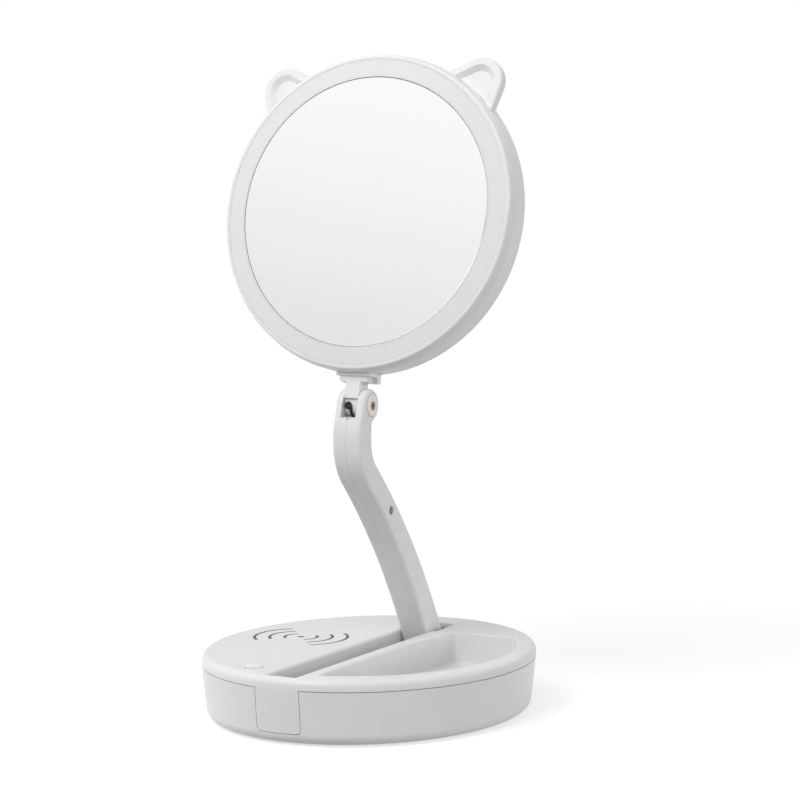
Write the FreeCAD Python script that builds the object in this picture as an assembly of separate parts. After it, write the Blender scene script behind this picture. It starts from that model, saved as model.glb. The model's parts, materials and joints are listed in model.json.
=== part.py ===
import FreeCAD, Part
import math
import os

from FreeCAD import Vector as V

# Folding lighted makeup mirror: an oval base with charging pad, tray and arm slot, a bent
# folding arm, a friction knuckle and a round lighted mirror with two ears.
# Millimetres, +Z up, the mirror faces -Y, origin at the middle of the base's underside.

# Base outline and heights
base_half_width = 90.6
base_half_depth = 107.0
base_top = 37.0
seam_height = 30.5
seam_gap = 0.4
base_wall = 2.2
base_floor = 2.2
base_draft = 3.0
bottom_round = 6.0
top_round = 4.0
cover_wall = 2.4
cover_plate = 2.4
lip_thickness = 1.4
lip_height = 2.4
lip_root = 4.0
lip_clearance = 0.15

# Foot ring under the base
foot_height = 1.0
foot_groove = 0.7
foot_inset = 16.0
foot_width = 6.0

# Arm slot, hinge well and front apron
slot_half_width = 9.8
slot_floor = 9.5
slot_end_wall = 3.8
slot_pad_round = 1.8
slot_tray_round = 0.8
trough_wall = 2.0
well_half_width = 15.0
well_front_reach = 15.0
well_back_reach = 13.5
mouth_step = 2.7
mouth_back_reach = 11.0
apron_half_width = 13.2
apron_bottom = 6.8
apron_depth = 7.0
apron_corner = 2.5
apron_gap = 0.35

# Tray beside the slot
tray_side = 16.0
tray_rim = 10.0
tray_front_rim = 14.2
tray_floor = 18.0
tray_wall = 2.0
tray_flare_run = 40.5
tray_flare = 6.3
tray_back_reach = 11.5
tray_corner = 2.6
tray_lip_round = 1.4
tray_floor_round = 2.0

# Charging pad and its symbol; its place is a share of the base's half width and half depth
pad_place = (-0.533, 0.047)
symbol_dot_radius = 1.9
symbol_pitch = 8.7
symbol_first_radius = 9.5
symbol_count = 3
symbol_stroke = 1.9
symbol_half_angle = 50.0
symbol_depth = 0.4
inlay_clearance = 0.05
coil_inner_radius = 9.0
coil_outer_radius = 21.0
coil_thickness = 1.2
shield_radius = 23.0
shield_thickness = 1.0

# Power button and its switch
button_inset = 14.8
button_radius = 4.95
button_clearance = 0.45
button_proud = 2.0
button_dome = 1.4
button_flange_radius = 6.2
button_flange = 1.1
button_flange_gap = 0.3
button_stem_radius = 1.6
switch_side = 6.0
switch_height = 2.6
switch_bore_depth = 2.3
plunger_length = 2.2
plunger_clearance = 0.1
plunger_lift = 0.7
plunger_seat = 1.6
switch_board_half_width = 10.0
switch_board_front = 4.5
switch_board_back = 6.0
switch_board_gap = 3.2
switch_post_x = 7.6
switch_post_y = 3.0
switch_post_radius = 1.8

# Circuit boards, cell and power inlet; a place is a share of the base's half width and half depth
board_thickness = 1.6
board_height = 8.0
main_board_low_place = (-0.684, -0.542)
main_board_high_place = (-0.199, -0.262)
board_post_radius = 2.4
board_post_inset = 4.0
cell_low_place = (-0.684, -0.047)
cell_high_place = (-0.221, 0.495)
cell_thickness = 8.5
cell_round = 2.0
usb_half_width = 4.5
usb_height = 3.2
usb_depth = 9.0
usb_recess = 0.5
usb_shell = 0.5
usb_clearance = 0.2
usb_board_half_width = 9.0
usb_board_depth = 11.5
usb_board_gap = 1.0
usb_board_height = 13.0

# Screws that hold the base together; a place is a share of the base's half width and half depth
post_shares = [(-0.397, -0.617), (-0.442, 0.579), (0.464, -0.393), (0.508, 0.206)]
post_joint = 9.0
post_radius = 4.2
base_screw_radius = 1.3
base_screw_head_radius = 2.6
base_screw_head = 1.6
base_screw_seat = 5.0
base_screw_length = 7.0
screw_clearance = 0.1

# Cross recess in a screw's head, as shares of the head's radius and height
recess_reach = 0.62
recess_width = 0.2
recess_depth = 0.55

# Foot hinge
hinge_inset = 35.0
hinge_z = 19.0
axle_radius = 3.0
running_clearance = 0.05
cheek_thickness = 4.2
cheek_gap = 1.25
cheek_front = 9.0
cheek_back = 12.5
cheek_rise = 8.0
cradle_bridge = 2.6
washer_radius = 6.5
washer_clearance = 0.08
cradle_screw_radius = 1.0
cradle_screw_head_radius = 2.0
cradle_screw_head = 1.3
cradle_screw_length = 7.0
cradle_screw_back = 9.0

# Bent arm
arm_half_width = 9.1
arm_foot_thickness = 17.5
arm_thickness = 15.0
arm_lean_foot = 26.3
arm_lean_top = 46.3
arm_lean_head = -1.3
arm_run = 145.0
arm_elbow_radius = 26.6
arm_head_run = 6.5
arm_edge_round = 2.2
arm_wall = 1.8
arm_hollow_start = 18.0
arm_screw_share = 0.79
arm_screw_boss = 3.5
arm_screw_hole = 2.5
arm_screw_head_radius = 2.3
arm_screw_head = 1.6
arm_screw_seat = 4.0
arm_screw_radius = 1.05
arm_screw_length = 7.5
arm_cable_radius = 0.8
arm_cable_gap = 0.15

# Knuckle
knuckle_rise = 13.1
knuckle_set_back = 6.1
ear_radius = 9.3
ear_blend = 3.5
head_blend = 25.0
clevis_half_gap = 4.75
clevis_radius = 8.5
clevis_sill = 6.2
bush_radius = 4.0
bush_cap_radius = 6.0
bush_cap_sink = 1.2
bush_cap_proud = 0.6
bush_cap_round = 0.5
bush_cap_clearance = 0.25
pin_radius = 2.5
pin_slot_width = 0.9
pin_slot_depth = 0.7
eye_radius = 6.6
eye_half_width = 4.4

# Neck, saddle and lamp wire, measured from the knuckle's axis
stem_back = 1.6
crossbar_half_width = 8.5
crossbar_front = -8.2
crossbar_back = -0.2
crossbar_low = 12.3
crossbar_high = 15.5
stem_low = 3.0
saddle_half_width = 11.3
saddle_front = -9.2
saddle_back = 5.2
saddle_low = 12.5
saddle_round = 2.0
saddle_clearance = 0.1
neck_screw_x = 6.3
neck_screw_radius = 0.9
neck_screw_head_radius = 1.5
neck_screw_head = 1.2
neck_screw_length = 3.2
wire_radius = 0.75
wire_track = 7.4
wire_x = -0.5
wire_loop_radius = 1.4
wire_loop_rise = -1.1
wire_rise_angle = 12.0
wire_tail_angle = 175.0
wire_loop_angle = 290.0

# Mirror head, with depths counted back from the glass
head_lean = 11.6
head_radius = 90.0
head_gap = 17.0
head_front = 15.2
head_depth = 20.6
head_wall = 2.0
head_back_round = 2.5
bezel_depth = 6.5
bezel_set_back = 0.7
bezel_rim = 3.45
bezel_taper = 1.3
bezel_round = 1.5
bezel_seam = 0.15
bezel_tongue_depth = 3.5
bezel_tongue_width = 1.7
bezel_tongue_clearance = 0.15
bezel_ledge = 2.0
lamp_ring_width = 13.9
glass_thickness = 3.2
glass_bevel = 0.4
diffuser_gap = 0.2
diffuser_fit = 0.08
diffuser_sink = 0.1
plate_thickness = 1.6
plate_overlap = 1.3
plate_wall = 1.6
lamp_depth = 12.0
lamp_board_thickness = 1.2
lamp_board_inset = 4.6
lamp_board_gap = 0.3
lamp_rib_width = 2.0
lamp_chip_count = 40
lamp_chip_long = 3.2
lamp_chip_wide = 2.2
lamp_chip_high = 1.0
pillar_share = 0.667
pillar_count = 4
pillar_radius = 4.5
pillar_joint = 15.0
head_screw_radius = 1.3
head_screw_head_radius = 2.6
head_screw_head = 1.6
head_screw_seat = 3.0
head_screw_length = 9.0

# Ears on the head
ear_turn = 40.2
ear_roll = 1.5
ear_lean = 6.0
ear_root_half_angle = 11.8
ear_root_drop = 8.0
ear_tip_rise = 5.8
ear_tip_radius = 13.8
ear_front_depth = 8.0
ear_thickness = 6.5
ear_edge_round = 1.6
ear_rim = 4.4
ear_recess = 2.2
ear_recess_slope = 3.0


def in_base(place):
    """Point in plan, from shares of the base's half width and half depth."""
    return V(place[0] * base_half_width, place[1] * base_half_depth, 0)


# Levels and places worked out from the sizes above
shell_bottom = foot_height
shell_floor = shell_bottom + base_floor
shell_rim = seam_height - seam_gap / 2
cover_bottom = seam_height + seam_gap / 2
cover_ceiling = base_top - cover_plate
slot_front = -(base_half_depth - slot_end_wall)
hinge_y = base_half_depth - hinge_inset
well_front = hinge_y - well_front_reach
well_back = hinge_y + well_back_reach
pad_centre = in_base(pad_place)
button_x = -(slot_half_width + trough_wall + switch_board_half_width + switch_board_gap)
button_share = button_x / (base_half_width - button_inset)
button_y = -(base_half_depth - button_inset) * math.sqrt(1 - button_share ** 2)
main_board_low = in_base(main_board_low_place)
main_board_high = in_base(main_board_high_place)
cell_low = in_base(cell_low_place)
cell_high = in_base(cell_high_place)
post_places = [in_base(place) for place in post_shares]
head_rise = head_radius + head_gap
bezel_inner_radius = head_radius - bezel_rim
glass_radius = head_radius - lamp_ring_width
lamp_board_outer_radius = head_radius - lamp_board_inset
pillar_circle = pillar_share * head_radius
ear_tip_reach = head_radius + ear_tip_rise
far = 400.0
tiny = 0.001


def box(low, high):
    """Box between two opposite corners."""
    size = high - low
    return Part.makeBox(size.x, size.y, size.z, low)


def upright(radius, low, high, x=0.0, y=0.0):
    """Upright round bar."""
    return Part.makeCylinder(radius, high - low, V(x, y, low))


def crosswise(radius, left, right, y=0.0, z=0.0):
    """Round bar along X."""
    return Part.makeCylinder(radius, right - left, V(left, y, z), V(1, 0, 0))


def level_edges(shape, z):
    """Edges that lie wholly at one height."""
    return [e for e in shape.Edges if e.BoundBox.ZMax - z < tiny and z - e.BoundBox.ZMin < tiny]


def upright_edges(shape):
    """Straight edges along Z."""
    return [e for e in shape.Edges if e.BoundBox.XLength < tiny and e.BoundBox.YLength < tiny]


def oval(inset, z, front_extra=0.0):
    """Oval outline of the base, drawn in from its widest line, and further in at front and back."""
    centre = V(0, 0, z)
    ends = [V(base_half_width - inset, 0, z), V(0, base_half_depth - inset - front_extra, z)]
    ends.sort(key=lambda end: -end.distanceToPoint(centre))
    return Part.Wire(Part.Ellipse(ends[0], ends[1], centre).toShape())


def oval_slab(inset, low, high):
    return Part.Face(oval(inset, low)).extrude(V(0, 0, high - low))


def oval_ring(outer_inset, inner_inset, low, high):
    return oval_slab(outer_inset, low, high).cut(oval_slab(inner_inset, low, high))


def lower_body(inset, bottom, rounding):
    """Tapered lower half of the base with its rounded bottom edge."""
    body = Part.makeLoft([oval(inset, shell_rim), oval(inset + base_draft, bottom)], True, True)
    return body.makeFillet(rounding, level_edges(body, bottom))


def whole_body():
    """The base's outside, without the seam."""
    lower = lower_body(0, shell_bottom, bottom_round)
    return lower.fuse(oval_slab(0, shell_rim, base_top - top_round))


def apron_block(grow, back, top):
    """Block that the apron is cut from, with rounded lower corners."""
    half = apron_half_width + grow
    low = V(-half, -far, apron_bottom - grow)
    block = box(low, V(half, back, top))
    corners = [e for e in level_edges(block, low.z) if e.BoundBox.XLength < tiny]
    return block.makeFillet(apron_corner + grow, corners)


def slot_run(grow, low, high):
    """Straight arm slot."""
    half = slot_half_width + grow
    return box(V(-half, slot_front - grow, low), V(half, well_back, high))


def well_block(grow, low, high):
    """Hinge well at the slot's back end."""
    half = well_half_width + grow
    return box(V(-half, well_front - grow, low), V(half, well_back + grow, high))


def slot_mouth():
    """Opening in the cover's top for the arm, wider at the hinge."""
    high = base_top + tray_wall
    back = hinge_y + mouth_back_reach
    half = slot_half_width
    run = box(V(-half, slot_front, slot_floor), V(half, back, high))
    half = slot_half_width + mouth_step
    wide = box(V(-half, well_front, slot_floor), V(half, back, high))
    mouth = run.fuse(wide).removeSplitter()
    corners = [e for e in upright_edges(mouth) if e.BoundBox.YMin > slot_front + tiny]
    return mouth.makeFillet(0.45 * mouth_step, corners)


def tray_block(grow, low, high):
    """Tray between the slot and the base's rim, with rounded upright corners."""
    side = tray_side - grow
    back = hinge_y - tray_back_reach + grow
    points = [V(side, -far, low), V(side, back - tray_flare_run, low), V(side + tray_flare, back, low)]
    points += [V(far, back, low), V(far, -far, low)]
    sector = Part.Face(Part.makePolygon(points + points[:1])).extrude(V(0, 0, high - low))
    rim = Part.Face(oval(tray_rim - grow, low, tray_front_rim - tray_rim))
    block = rim.extrude(V(0, 0, high - low)).common(sector)
    return block.makeFillet(tray_corner + grow, upright_edges(block))


def symbol_arcs(shrink):
    """Dot and arcs of the charging symbol, sunk into the pad."""
    low = base_top - symbol_depth
    spot = V(pad_centre.x, pad_centre.y, low)
    pieces = [Part.makeCylinder(symbol_dot_radius - shrink, symbol_depth, spot)]
    for step in range(symbol_count):
        radius = symbol_first_radius + step * symbol_pitch
        half = symbol_stroke / 2 - shrink
        spread = symbol_half_angle - math.degrees(shrink / radius)
        for facing in (0, 180):
            outer = Part.makeCylinder(radius + half, symbol_depth, spot, V(0, 0, 1), 2 * spread)
            inner = Part.makeCylinder(radius - half, symbol_depth, spot)
            arc = outer.cut(inner)
            arc.rotate(spot, V(0, 0, 1), facing - spread)
            pieces.append(arc)
    return pieces


def screw_up(radius, screw_head_radius, screw_head, length, spot):
    """Screw that points up, with its head's upper face at the spot and a cross recess below."""
    shank = upright(radius, spot.z, spot.z + length, spot.x, spot.y)
    low = spot.z - screw_head
    screw = shank.fuse(upright(screw_head_radius, low, spot.z, spot.x, spot.y)).removeSplitter()
    reach = recess_reach * screw_head_radius
    half = recess_width * screw_head_radius
    deep = low + recess_depth * screw_head
    bars = ((reach, half), (half, reach))
    cross = [box(V(spot.x - a, spot.y - b, low), V(spot.x + a, spot.y + b, deep)) for a, b in bars]
    return screw.cut(cross)


def make_base_shell():
    lip_outer = cover_wall + lip_clearance
    lip_inner = lip_outer + lip_thickness
    root = oval_ring(base_wall / 2, lip_inner, shell_rim - lip_root, shell_rim)
    adds = [root.common(lower_body(base_wall / 2, shell_bottom, bottom_round))]
    adds.append(oval_ring(lip_outer, lip_inner, shell_rim - lip_root, shell_rim + lip_height))
    above_lip = shell_rim + lip_height + apron_gap
    cuts = [apron_block(apron_gap, slot_front + apron_depth, above_lip), usb_block(usb_clearance, far)]
    cuts.append(oval_ring(foot_inset, foot_inset + foot_width, shell_bottom, shell_bottom + foot_groove))
    buried = shell_bottom + base_floor / 2
    for spot in post_places:
        adds.append(upright(post_radius, buried, post_joint, spot.x, spot.y))
        head_room = base_screw_head_radius + screw_clearance
        cuts.append(upright(head_room, 0, base_screw_seat, spot.x, spot.y))
        shank_room = base_screw_radius + screw_clearance
        cuts.append(upright(shank_room, base_screw_seat, post_joint, spot.x, spot.y))
    for x, y in main_board_corners():
        adds.append(upright(board_post_radius, buried, board_height, x, y))
    for x, y in usb_board_corners():
        adds.append(upright(board_post_radius, buried, usb_board_height, x, y))
    shell = lower_body(0, shell_bottom, bottom_round)
    shell = shell.cut(lower_body(base_wall, shell_floor, bottom_round - base_wall))
    return shell.fuse(adds).removeSplitter().cut(cuts)


def make_foot_ring():
    return oval_ring(foot_inset, foot_inset + foot_width, 0, shell_bottom + foot_groove)


def make_top_cover():
    plate = oval_slab(0, cover_bottom, base_top)
    plate = plate.makeFillet(top_round, level_edges(plate, base_top))
    cover = plate.cut(oval_slab(cover_wall, cover_bottom, cover_ceiling))
    body = whole_body()
    below_top = base_top - cover_plate / 2
    under = slot_floor - trough_wall
    trough = slot_run(trough_wall, under, below_top).fuse(well_block(trough_wall, under, below_top))
    apron = apron_block(0, slot_front + trough_wall, cover_bottom + apron_gap)
    tray = tray_block(tray_wall, tray_floor - tray_wall, below_top)
    inside = [trough.common(body.fuse(oval_slab(top_round, seam_height, base_top))), apron.common(body), tray]
    for spot in post_places:
        top = tray_floor - tray_wall / 2 if spot.x > 0 else below_top
        inside.append(upright(post_radius, post_joint, top, spot.x, spot.y))
    for x, y in switch_posts():
        inside.append(upright(switch_post_radius, switch_board_top(), below_top, x, y))
    cover = cover.fuse(inside).removeSplitter()
    hollow = tray_block(0, tray_floor, base_top + tray_wall)
    hollow = hollow.makeFillet(tray_floor_round, level_edges(hollow, tray_floor))
    cover = cover.cut(slot_mouth()).cut(well_block(0, slot_floor, cover_ceiling)).cut(hollow)
    cover = cover.makeFillet(tray_lip_round, mouth_edges(cover, hollow))
    cuts = [slot_edge(-1, slot_pad_round), slot_edge(1, slot_tray_round)]
    cuts += [upright(button_radius + button_clearance, cover_ceiling, far, button_x, button_y)]
    for spot in post_places:
        tip = base_screw_seat + base_screw_length + screw_clearance
        cuts.append(upright(base_screw_radius + screw_clearance, post_joint, tip, spot.x, spot.y))
    for side in (-1, 1):
        hole = cradle_screw_radius + screw_clearance
        spot = cradle_screw_spot(side)
        cuts.append(upright(hole, slot_floor - trough_wall, slot_floor, spot.x, spot.y))
    return cover.cut(cuts + symbol_arcs(0))


def mouth_edges(cover, hollow):
    """Edges of a hollow's mouth in the cover's top."""
    rim = level_edges(cover, base_top)
    return [e for e in rim if hollow.isInside(e.valueAt((e.FirstParameter + e.LastParameter) / 2), tiny, True)]


def slot_edge(side, radius):
    """Cutter that rounds one long edge of the slot's mouth."""
    wall = side * slot_half_width
    middle = wall + side * radius
    low = base_top - radius
    bar = box(V(min(wall, middle), slot_front, low), V(max(wall, middle), well_front, base_top + radius))
    return bar.cut(Part.makeCylinder(radius, well_front - slot_front, V(middle, slot_front, low), V(0, 1, 0)))


def main_board_corners():
    low = main_board_low
    high = main_board_high
    gap = board_post_inset
    return [(x, y) for x in (low.x + gap, high.x - gap) for y in (low.y + gap, high.y - gap)]


def usb_board_back():
    return well_back + trough_wall + usb_board_gap


def usb_board_corners():
    x = usb_board_half_width - board_post_radius
    y = usb_board_back() + board_post_radius - usb_clearance
    return [(-x, y), (x, y)]


def usb_wall():
    """How far back the base's wall stands at the inlet's height."""
    share = (shell_rim - usb_board_height - board_thickness - usb_height / 2) / (shell_rim - shell_bottom)
    return base_half_depth - base_draft * share


def usb_block(grow, back):
    """The inlet's metal shell, or the room for it."""
    floor = usb_board_height + board_thickness
    front = usb_wall() - usb_recess - usb_depth
    low = V(-usb_half_width - grow, front - grow, floor - grow)
    block = box(low, V(usb_half_width + grow, back, floor + usb_height + grow))
    along = [e for e in block.Edges if e.BoundBox.YLength > tiny]
    return block.makeFillet(usb_height / 3, along)


def make_usb_socket():
    end = usb_wall() - usb_recess
    shell = usb_block(0, end)
    mouth = usb_block(-usb_shell, end + usb_recess)
    mouth.translate(V(0, usb_depth / 4, 0))
    middle = usb_board_height + board_thickness + usb_height / 2
    thin = usb_shell / 2
    half = usb_half_width / 2
    tongue = box(V(-half, end - usb_depth, middle - thin), V(half, end - thin, middle + thin))
    return shell.cut(mouth).fuse(tongue)


def make_usb_board():
    back = usb_board_back()
    low = V(-usb_board_half_width, back, usb_board_height)
    return box(low, V(usb_board_half_width, back + usb_board_depth, usb_board_height + board_thickness))


def make_main_board():
    low = V(main_board_low.x, main_board_low.y, board_height)
    return box(low, V(main_board_high.x, main_board_high.y, board_height + board_thickness))


def make_battery_cell():
    high = V(cell_high.x, cell_high.y, shell_floor + cell_thickness)
    cell = box(V(cell_low.x, cell_low.y, shell_floor), high)
    return cell.makeFillet(cell_round, upright_edges(cell))


def make_base_screws():
    sizes = (base_screw_radius, base_screw_head_radius, base_screw_head, base_screw_length)
    return [screw_up(*sizes, V(spot.x, spot.y, base_screw_seat)) for spot in post_places]


def make_charging_coil():
    low = cover_ceiling - coil_thickness
    ring = upright(coil_outer_radius, low, cover_ceiling, pad_centre.x, pad_centre.y)
    return ring.cut(upright(coil_inner_radius, low, cover_ceiling, pad_centre.x, pad_centre.y))


def make_coil_shield():
    high = cover_ceiling - coil_thickness
    return upright(shield_radius, high - shield_thickness, high, pad_centre.x, pad_centre.y)


def button_low():
    """Underside of the button's flange."""
    return cover_ceiling - button_flange_gap - button_flange


def switch_board_top():
    return button_low() - plunger_lift - switch_height - plunger_length + plunger_seat


def switch_posts():
    return [(button_x + side * switch_post_x, button_y + switch_post_y) for side in (-1, 1)]


def make_power_button():
    shoulder = base_top + button_proud - button_dome
    cap = upright(button_radius, button_low(), shoulder, button_x, button_y)
    dome_radius = (button_radius ** 2 + button_dome ** 2) / (2 * button_dome)
    dome = Part.makeSphere(dome_radius, V(button_x, button_y, shoulder + button_dome - dome_radius))
    dome = dome.common(upright(button_radius, shoulder, shoulder + button_dome, button_x, button_y))
    flange = upright(button_flange_radius, button_low(), button_low() + button_flange, button_x, button_y)
    stem = upright(button_stem_radius, button_low() - plunger_lift, button_low(), button_x, button_y)
    return cap.fuse([dome, flange, stem]).removeSplitter()


def make_switch_plunger():
    top = button_low() - plunger_lift
    return upright(button_stem_radius, top - plunger_length, top, button_x, button_y)


def make_tact_switch():
    low = switch_board_top()
    half = switch_side / 2
    high = low + switch_height
    body = box(V(button_x - half, button_y - half, low), V(button_x + half, button_y + half, high))
    bore = button_stem_radius + plunger_clearance
    return body.cut(upright(bore, high - switch_bore_depth, high, button_x, button_y))


def make_switch_board():
    high = switch_board_top()
    low = V(button_x - switch_board_half_width, button_y - switch_board_front, high - board_thickness)
    return box(low, V(button_x + switch_board_half_width, button_y + switch_board_back, high))


def cheek_inner():
    return arm_half_width + cheek_gap


def cradle_screw_spot(side):
    x = side * (cheek_inner() + cheek_thickness / 2)
    return V(x, hinge_y + cradle_screw_back, slot_floor - trough_wall)


def make_hinge_cradle():
    inner = cheek_inner()
    outer = inner + cheek_thickness
    back = hinge_y + cheek_back
    top = hinge_z + cheek_rise
    cradle = box(V(-outer, back - cradle_bridge, slot_floor), V(outer, back, hinge_z))
    holes = [crosswise(axle_radius + running_clearance, -outer, outer, hinge_y, hinge_z)]
    for side in (-1, 1):
        left = min(side * inner, side * outer)
        cheek = box(V(left, hinge_y - cheek_front, slot_floor), V(left + cheek_thickness, back, top))
        crown = [e for e in level_edges(cheek, top) if e.BoundBox.YLength < tiny]
        cheek = cheek.makeFillet(cheek_rise, crown)
        spot = cradle_screw_spot(side)
        tip = spot.z + cradle_screw_length + screw_clearance
        holes.append(upright(cradle_screw_radius + screw_clearance, slot_floor, tip, spot.x, spot.y))
        cradle = cradle.fuse(cheek)
    return cradle.removeSplitter().cut(holes)


def make_cradle_screws():
    sizes = (cradle_screw_radius, cradle_screw_head_radius, cradle_screw_head, cradle_screw_length)
    return [screw_up(*sizes, cradle_screw_spot(side)) for side in (-1, 1)]


def make_foot_axle():
    end = cheek_inner() + cheek_thickness
    return crosswise(axle_radius, -end, end, hinge_y, hinge_z)


def make_friction_washers():
    near = arm_half_width + washer_clearance
    far_side = cheek_inner() - washer_clearance
    washers = []
    for left, right in ((-far_side, -near), (near, far_side)):
        ring = crosswise(washer_radius, left, right, hinge_y, hinge_z)
        washers.append(ring.cut(crosswise(axle_radius + running_clearance, left, right, hinge_y, hinge_z)))
    return washers


# The arm's middle line: one long shallow bend, the elbow, and a short straight run to the knuckle.
# A lean is the angle from upright towards the front.
lean_foot = math.radians(arm_lean_foot)
lean_top = math.radians(arm_lean_top)
lean_head = math.radians(arm_lean_head)
bend_radius = arm_run / (lean_top - lean_foot)
foot = V(0, hinge_y, hinge_z)


def ahead(lean):
    return V(0, -math.sin(lean), math.cos(lean))


def rearward(lean):
    return V(0, math.cos(lean), math.sin(lean))


bend_centre = foot - rearward(lean_foot) * bend_radius
elbow_centre = bend_centre + rearward(lean_top) * (bend_radius + arm_elbow_radius)
elbow_end = elbow_centre - rearward(lean_head) * arm_elbow_radius
knuckle = elbow_end + ahead(lean_head) * (arm_head_run + knuckle_rise) + rearward(lean_head) * knuckle_set_back


def bend_point(lean, back):
    return bend_centre + rearward(lean) * (bend_radius + back)


def elbow_point(lean, back):
    return elbow_centre - rearward(lean) * (arm_elbow_radius - back)


def head_point(run, back):
    return elbow_end + ahead(lean_head) * run + rearward(lean_head) * back


def half_thickness(lean):
    """Half of the arm's thickness on the long bend, thicker towards the foot."""
    share = (lean - lean_foot) / (lean_top - lean_foot)
    return (arm_foot_thickness + (arm_thickness - arm_foot_thickness) * share) / 2


def arm_line(side, inset, start_lean, head_run):
    """Edges of a line along the arm, drawn in from its front (-1) or back (1) face."""
    def bend(lean):
        return bend_point(lean, side * (half_thickness(lean) - inset))

    back = side * (arm_thickness / 2 - inset)
    long_bend = Part.Arc(bend(start_lean), bend((start_lean + lean_top) / 2), bend(lean_top))
    middle = (lean_top + lean_head) / 2
    elbow = Part.Arc(elbow_point(lean_top, back), elbow_point(middle, back), elbow_point(lean_head, back))
    edges = [long_bend.toShape(), elbow.toShape()]
    edges.append(Part.makeLine(head_point(0, back), head_point(head_run, back)))
    return edges


def arm_band(inset, start_lean, head_run, x, width):
    """Solid along the arm, drawn in from its front and back faces."""
    edges = arm_line(-1, inset, start_lean, head_run) + arm_line(1, inset, start_lean, head_run)
    half = half_thickness(start_lean) - inset
    edges.append(Part.makeLine(bend_point(start_lean, -half), bend_point(start_lean, half)))
    half = arm_thickness / 2 - inset
    edges.append(Part.makeLine(head_point(head_run, -half), head_point(head_run, half)))
    outline = Part.Face(Part.Wire(Part.__sortEdges__(edges)))
    band = outline.extrude(V(width, 0, 0))
    band.translate(V(x, 0, 0))
    return band


def tangent_point(start, centre, radius):
    """Point where a line from the start touches a circle on its front side."""
    away = start - centre
    opening = math.acos(radius / away.Length)
    angle = math.atan2(away.z, away.y) - opening
    return centre + V(0, math.cos(angle), math.sin(angle)) * radius


def arm_outside(x, width):
    """Solid arm with its foot and knuckle end."""
    half = arm_thickness / 2
    band = arm_band(0, lean_foot, arm_head_run, x, width)
    toe = crosswise(arm_foot_thickness / 2, x, x + width, hinge_y, hinge_z)
    crown = crosswise(ear_radius, x, x + width, knuckle.y, knuckle.z)
    front = head_point(arm_head_run, -half)
    rear = head_point(arm_head_run, half)
    corners = [front, tangent_point(front, knuckle, ear_radius), knuckle, rear, front]
    cheek = Part.Face(Part.makePolygon(corners)).extrude(V(width, 0, 0))
    cheek.translate(V(x, 0, 0))
    arm = band.fuse([toe, cheek, crown]).removeSplitter()
    arm = arm.makeFillet(ear_blend, [cross_edge(arm, V(0, knuckle.y, knuckle.z - ear_radius))])
    return arm.makeFillet(head_blend, [cross_edge(arm, front)])


def cross_edge(arm, spot):
    """The edge across the arm that lies nearest to a place on it."""
    across = [e for e in arm.Edges if e.BoundBox.YLength < tiny and e.BoundBox.ZLength < tiny]
    return min(across, key=lambda e: V(0, e.BoundBox.YMin, e.BoundBox.ZMin).distanceToPoint(spot))


def clevis_gap():
    """Room for the neck's eye between the knuckle's ears, open to the front, top and back."""
    half = clevis_half_gap
    sill = knuckle.z - clevis_sill
    top = knuckle.z + 2 * ear_radius
    room = crosswise(clevis_radius, -half, half, knuckle.y, knuckle.z)
    upper = box(V(-half, knuckle.y - 3 * ear_radius, sill), V(half, knuckle.y + 3 * ear_radius, top))
    rear = box(V(-half, knuckle.y, knuckle.z - ear_radius - ear_blend), V(half, knuckle.y + 3 * ear_radius, top))
    return room.fuse([upper, rear])


def arm_screw_spot():
    return bend_point(lean_foot + arm_screw_share * arm_run / bend_radius, 0)


def make_arm_shell(side):
    """One half of the arm, hollow for the cable, with its knuckle ear."""
    x = min(0, side * arm_half_width)
    shell = arm_outside(x, arm_half_width)
    face = side * arm_half_width
    rim = [e for e in shell.Edges if abs(e.BoundBox.XMin - face) < tiny and abs(e.BoundBox.XMax - face) < tiny]
    shell = shell.makeFillet(arm_edge_round, rim)
    start = lean_foot + arm_hollow_start / bend_radius
    room = arm_half_width - arm_wall
    hollow = arm_band(arm_wall, start, arm_wall, -room, 2 * room)
    spot = arm_screw_spot()
    hollow = hollow.cut(crosswise(arm_screw_boss, -room, room, spot.y, spot.z))
    bottom = arm_screw_seat - arm_screw_head - arm_screw_length
    cuts = [hollow, clevis_gap()]
    cuts.append(crosswise(arm_screw_radius + screw_clearance, bottom - screw_clearance, far, spot.y, spot.z))
    cuts.append(crosswise(arm_screw_hole, arm_screw_seat - arm_screw_head, far, spot.y, spot.z))
    cuts.append(crosswise(axle_radius + running_clearance, -far, far, hinge_y, hinge_z))
    cuts.append(crosswise(bush_radius + running_clearance, -far, far, knuckle.y, knuckle.z))
    sink = side * (arm_half_width - bush_cap_sink)
    rim_radius = bush_cap_radius + bush_cap_clearance
    cuts.append(crosswise(rim_radius, min(sink, side * far), max(sink, side * far), knuckle.y, knuckle.z))
    cuts.append(cable_outlet())
    return shell.cut(cuts)


def cable_inset():
    """How far the cable's middle lies behind the arm's front face, against the hollow's front wall."""
    return arm_wall + arm_cable_radius + arm_cable_gap


def cable_outlet():
    """Bore that leads the cable from the hollow into the knuckle."""
    start = head_point(-arm_wall, cable_inset() - arm_thickness / 2)
    length = arm_head_run + 2 * arm_wall + knuckle_rise
    return Part.makeCylinder(arm_cable_radius + 2 * arm_cable_gap, length, start, ahead(lean_head))


def make_arm_cable():
    start = lean_foot + (arm_hollow_start + arm_wall) / bend_radius
    path = Part.Wire(arm_line(-1, cable_inset(), start, arm_head_run))
    end = bend_point(start, cable_inset() - half_thickness(start))
    section = Part.Circle(end, ahead(start), arm_cable_radius)
    return path.makePipeShell([Part.Wire(section.toShape())], True, False)


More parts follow.
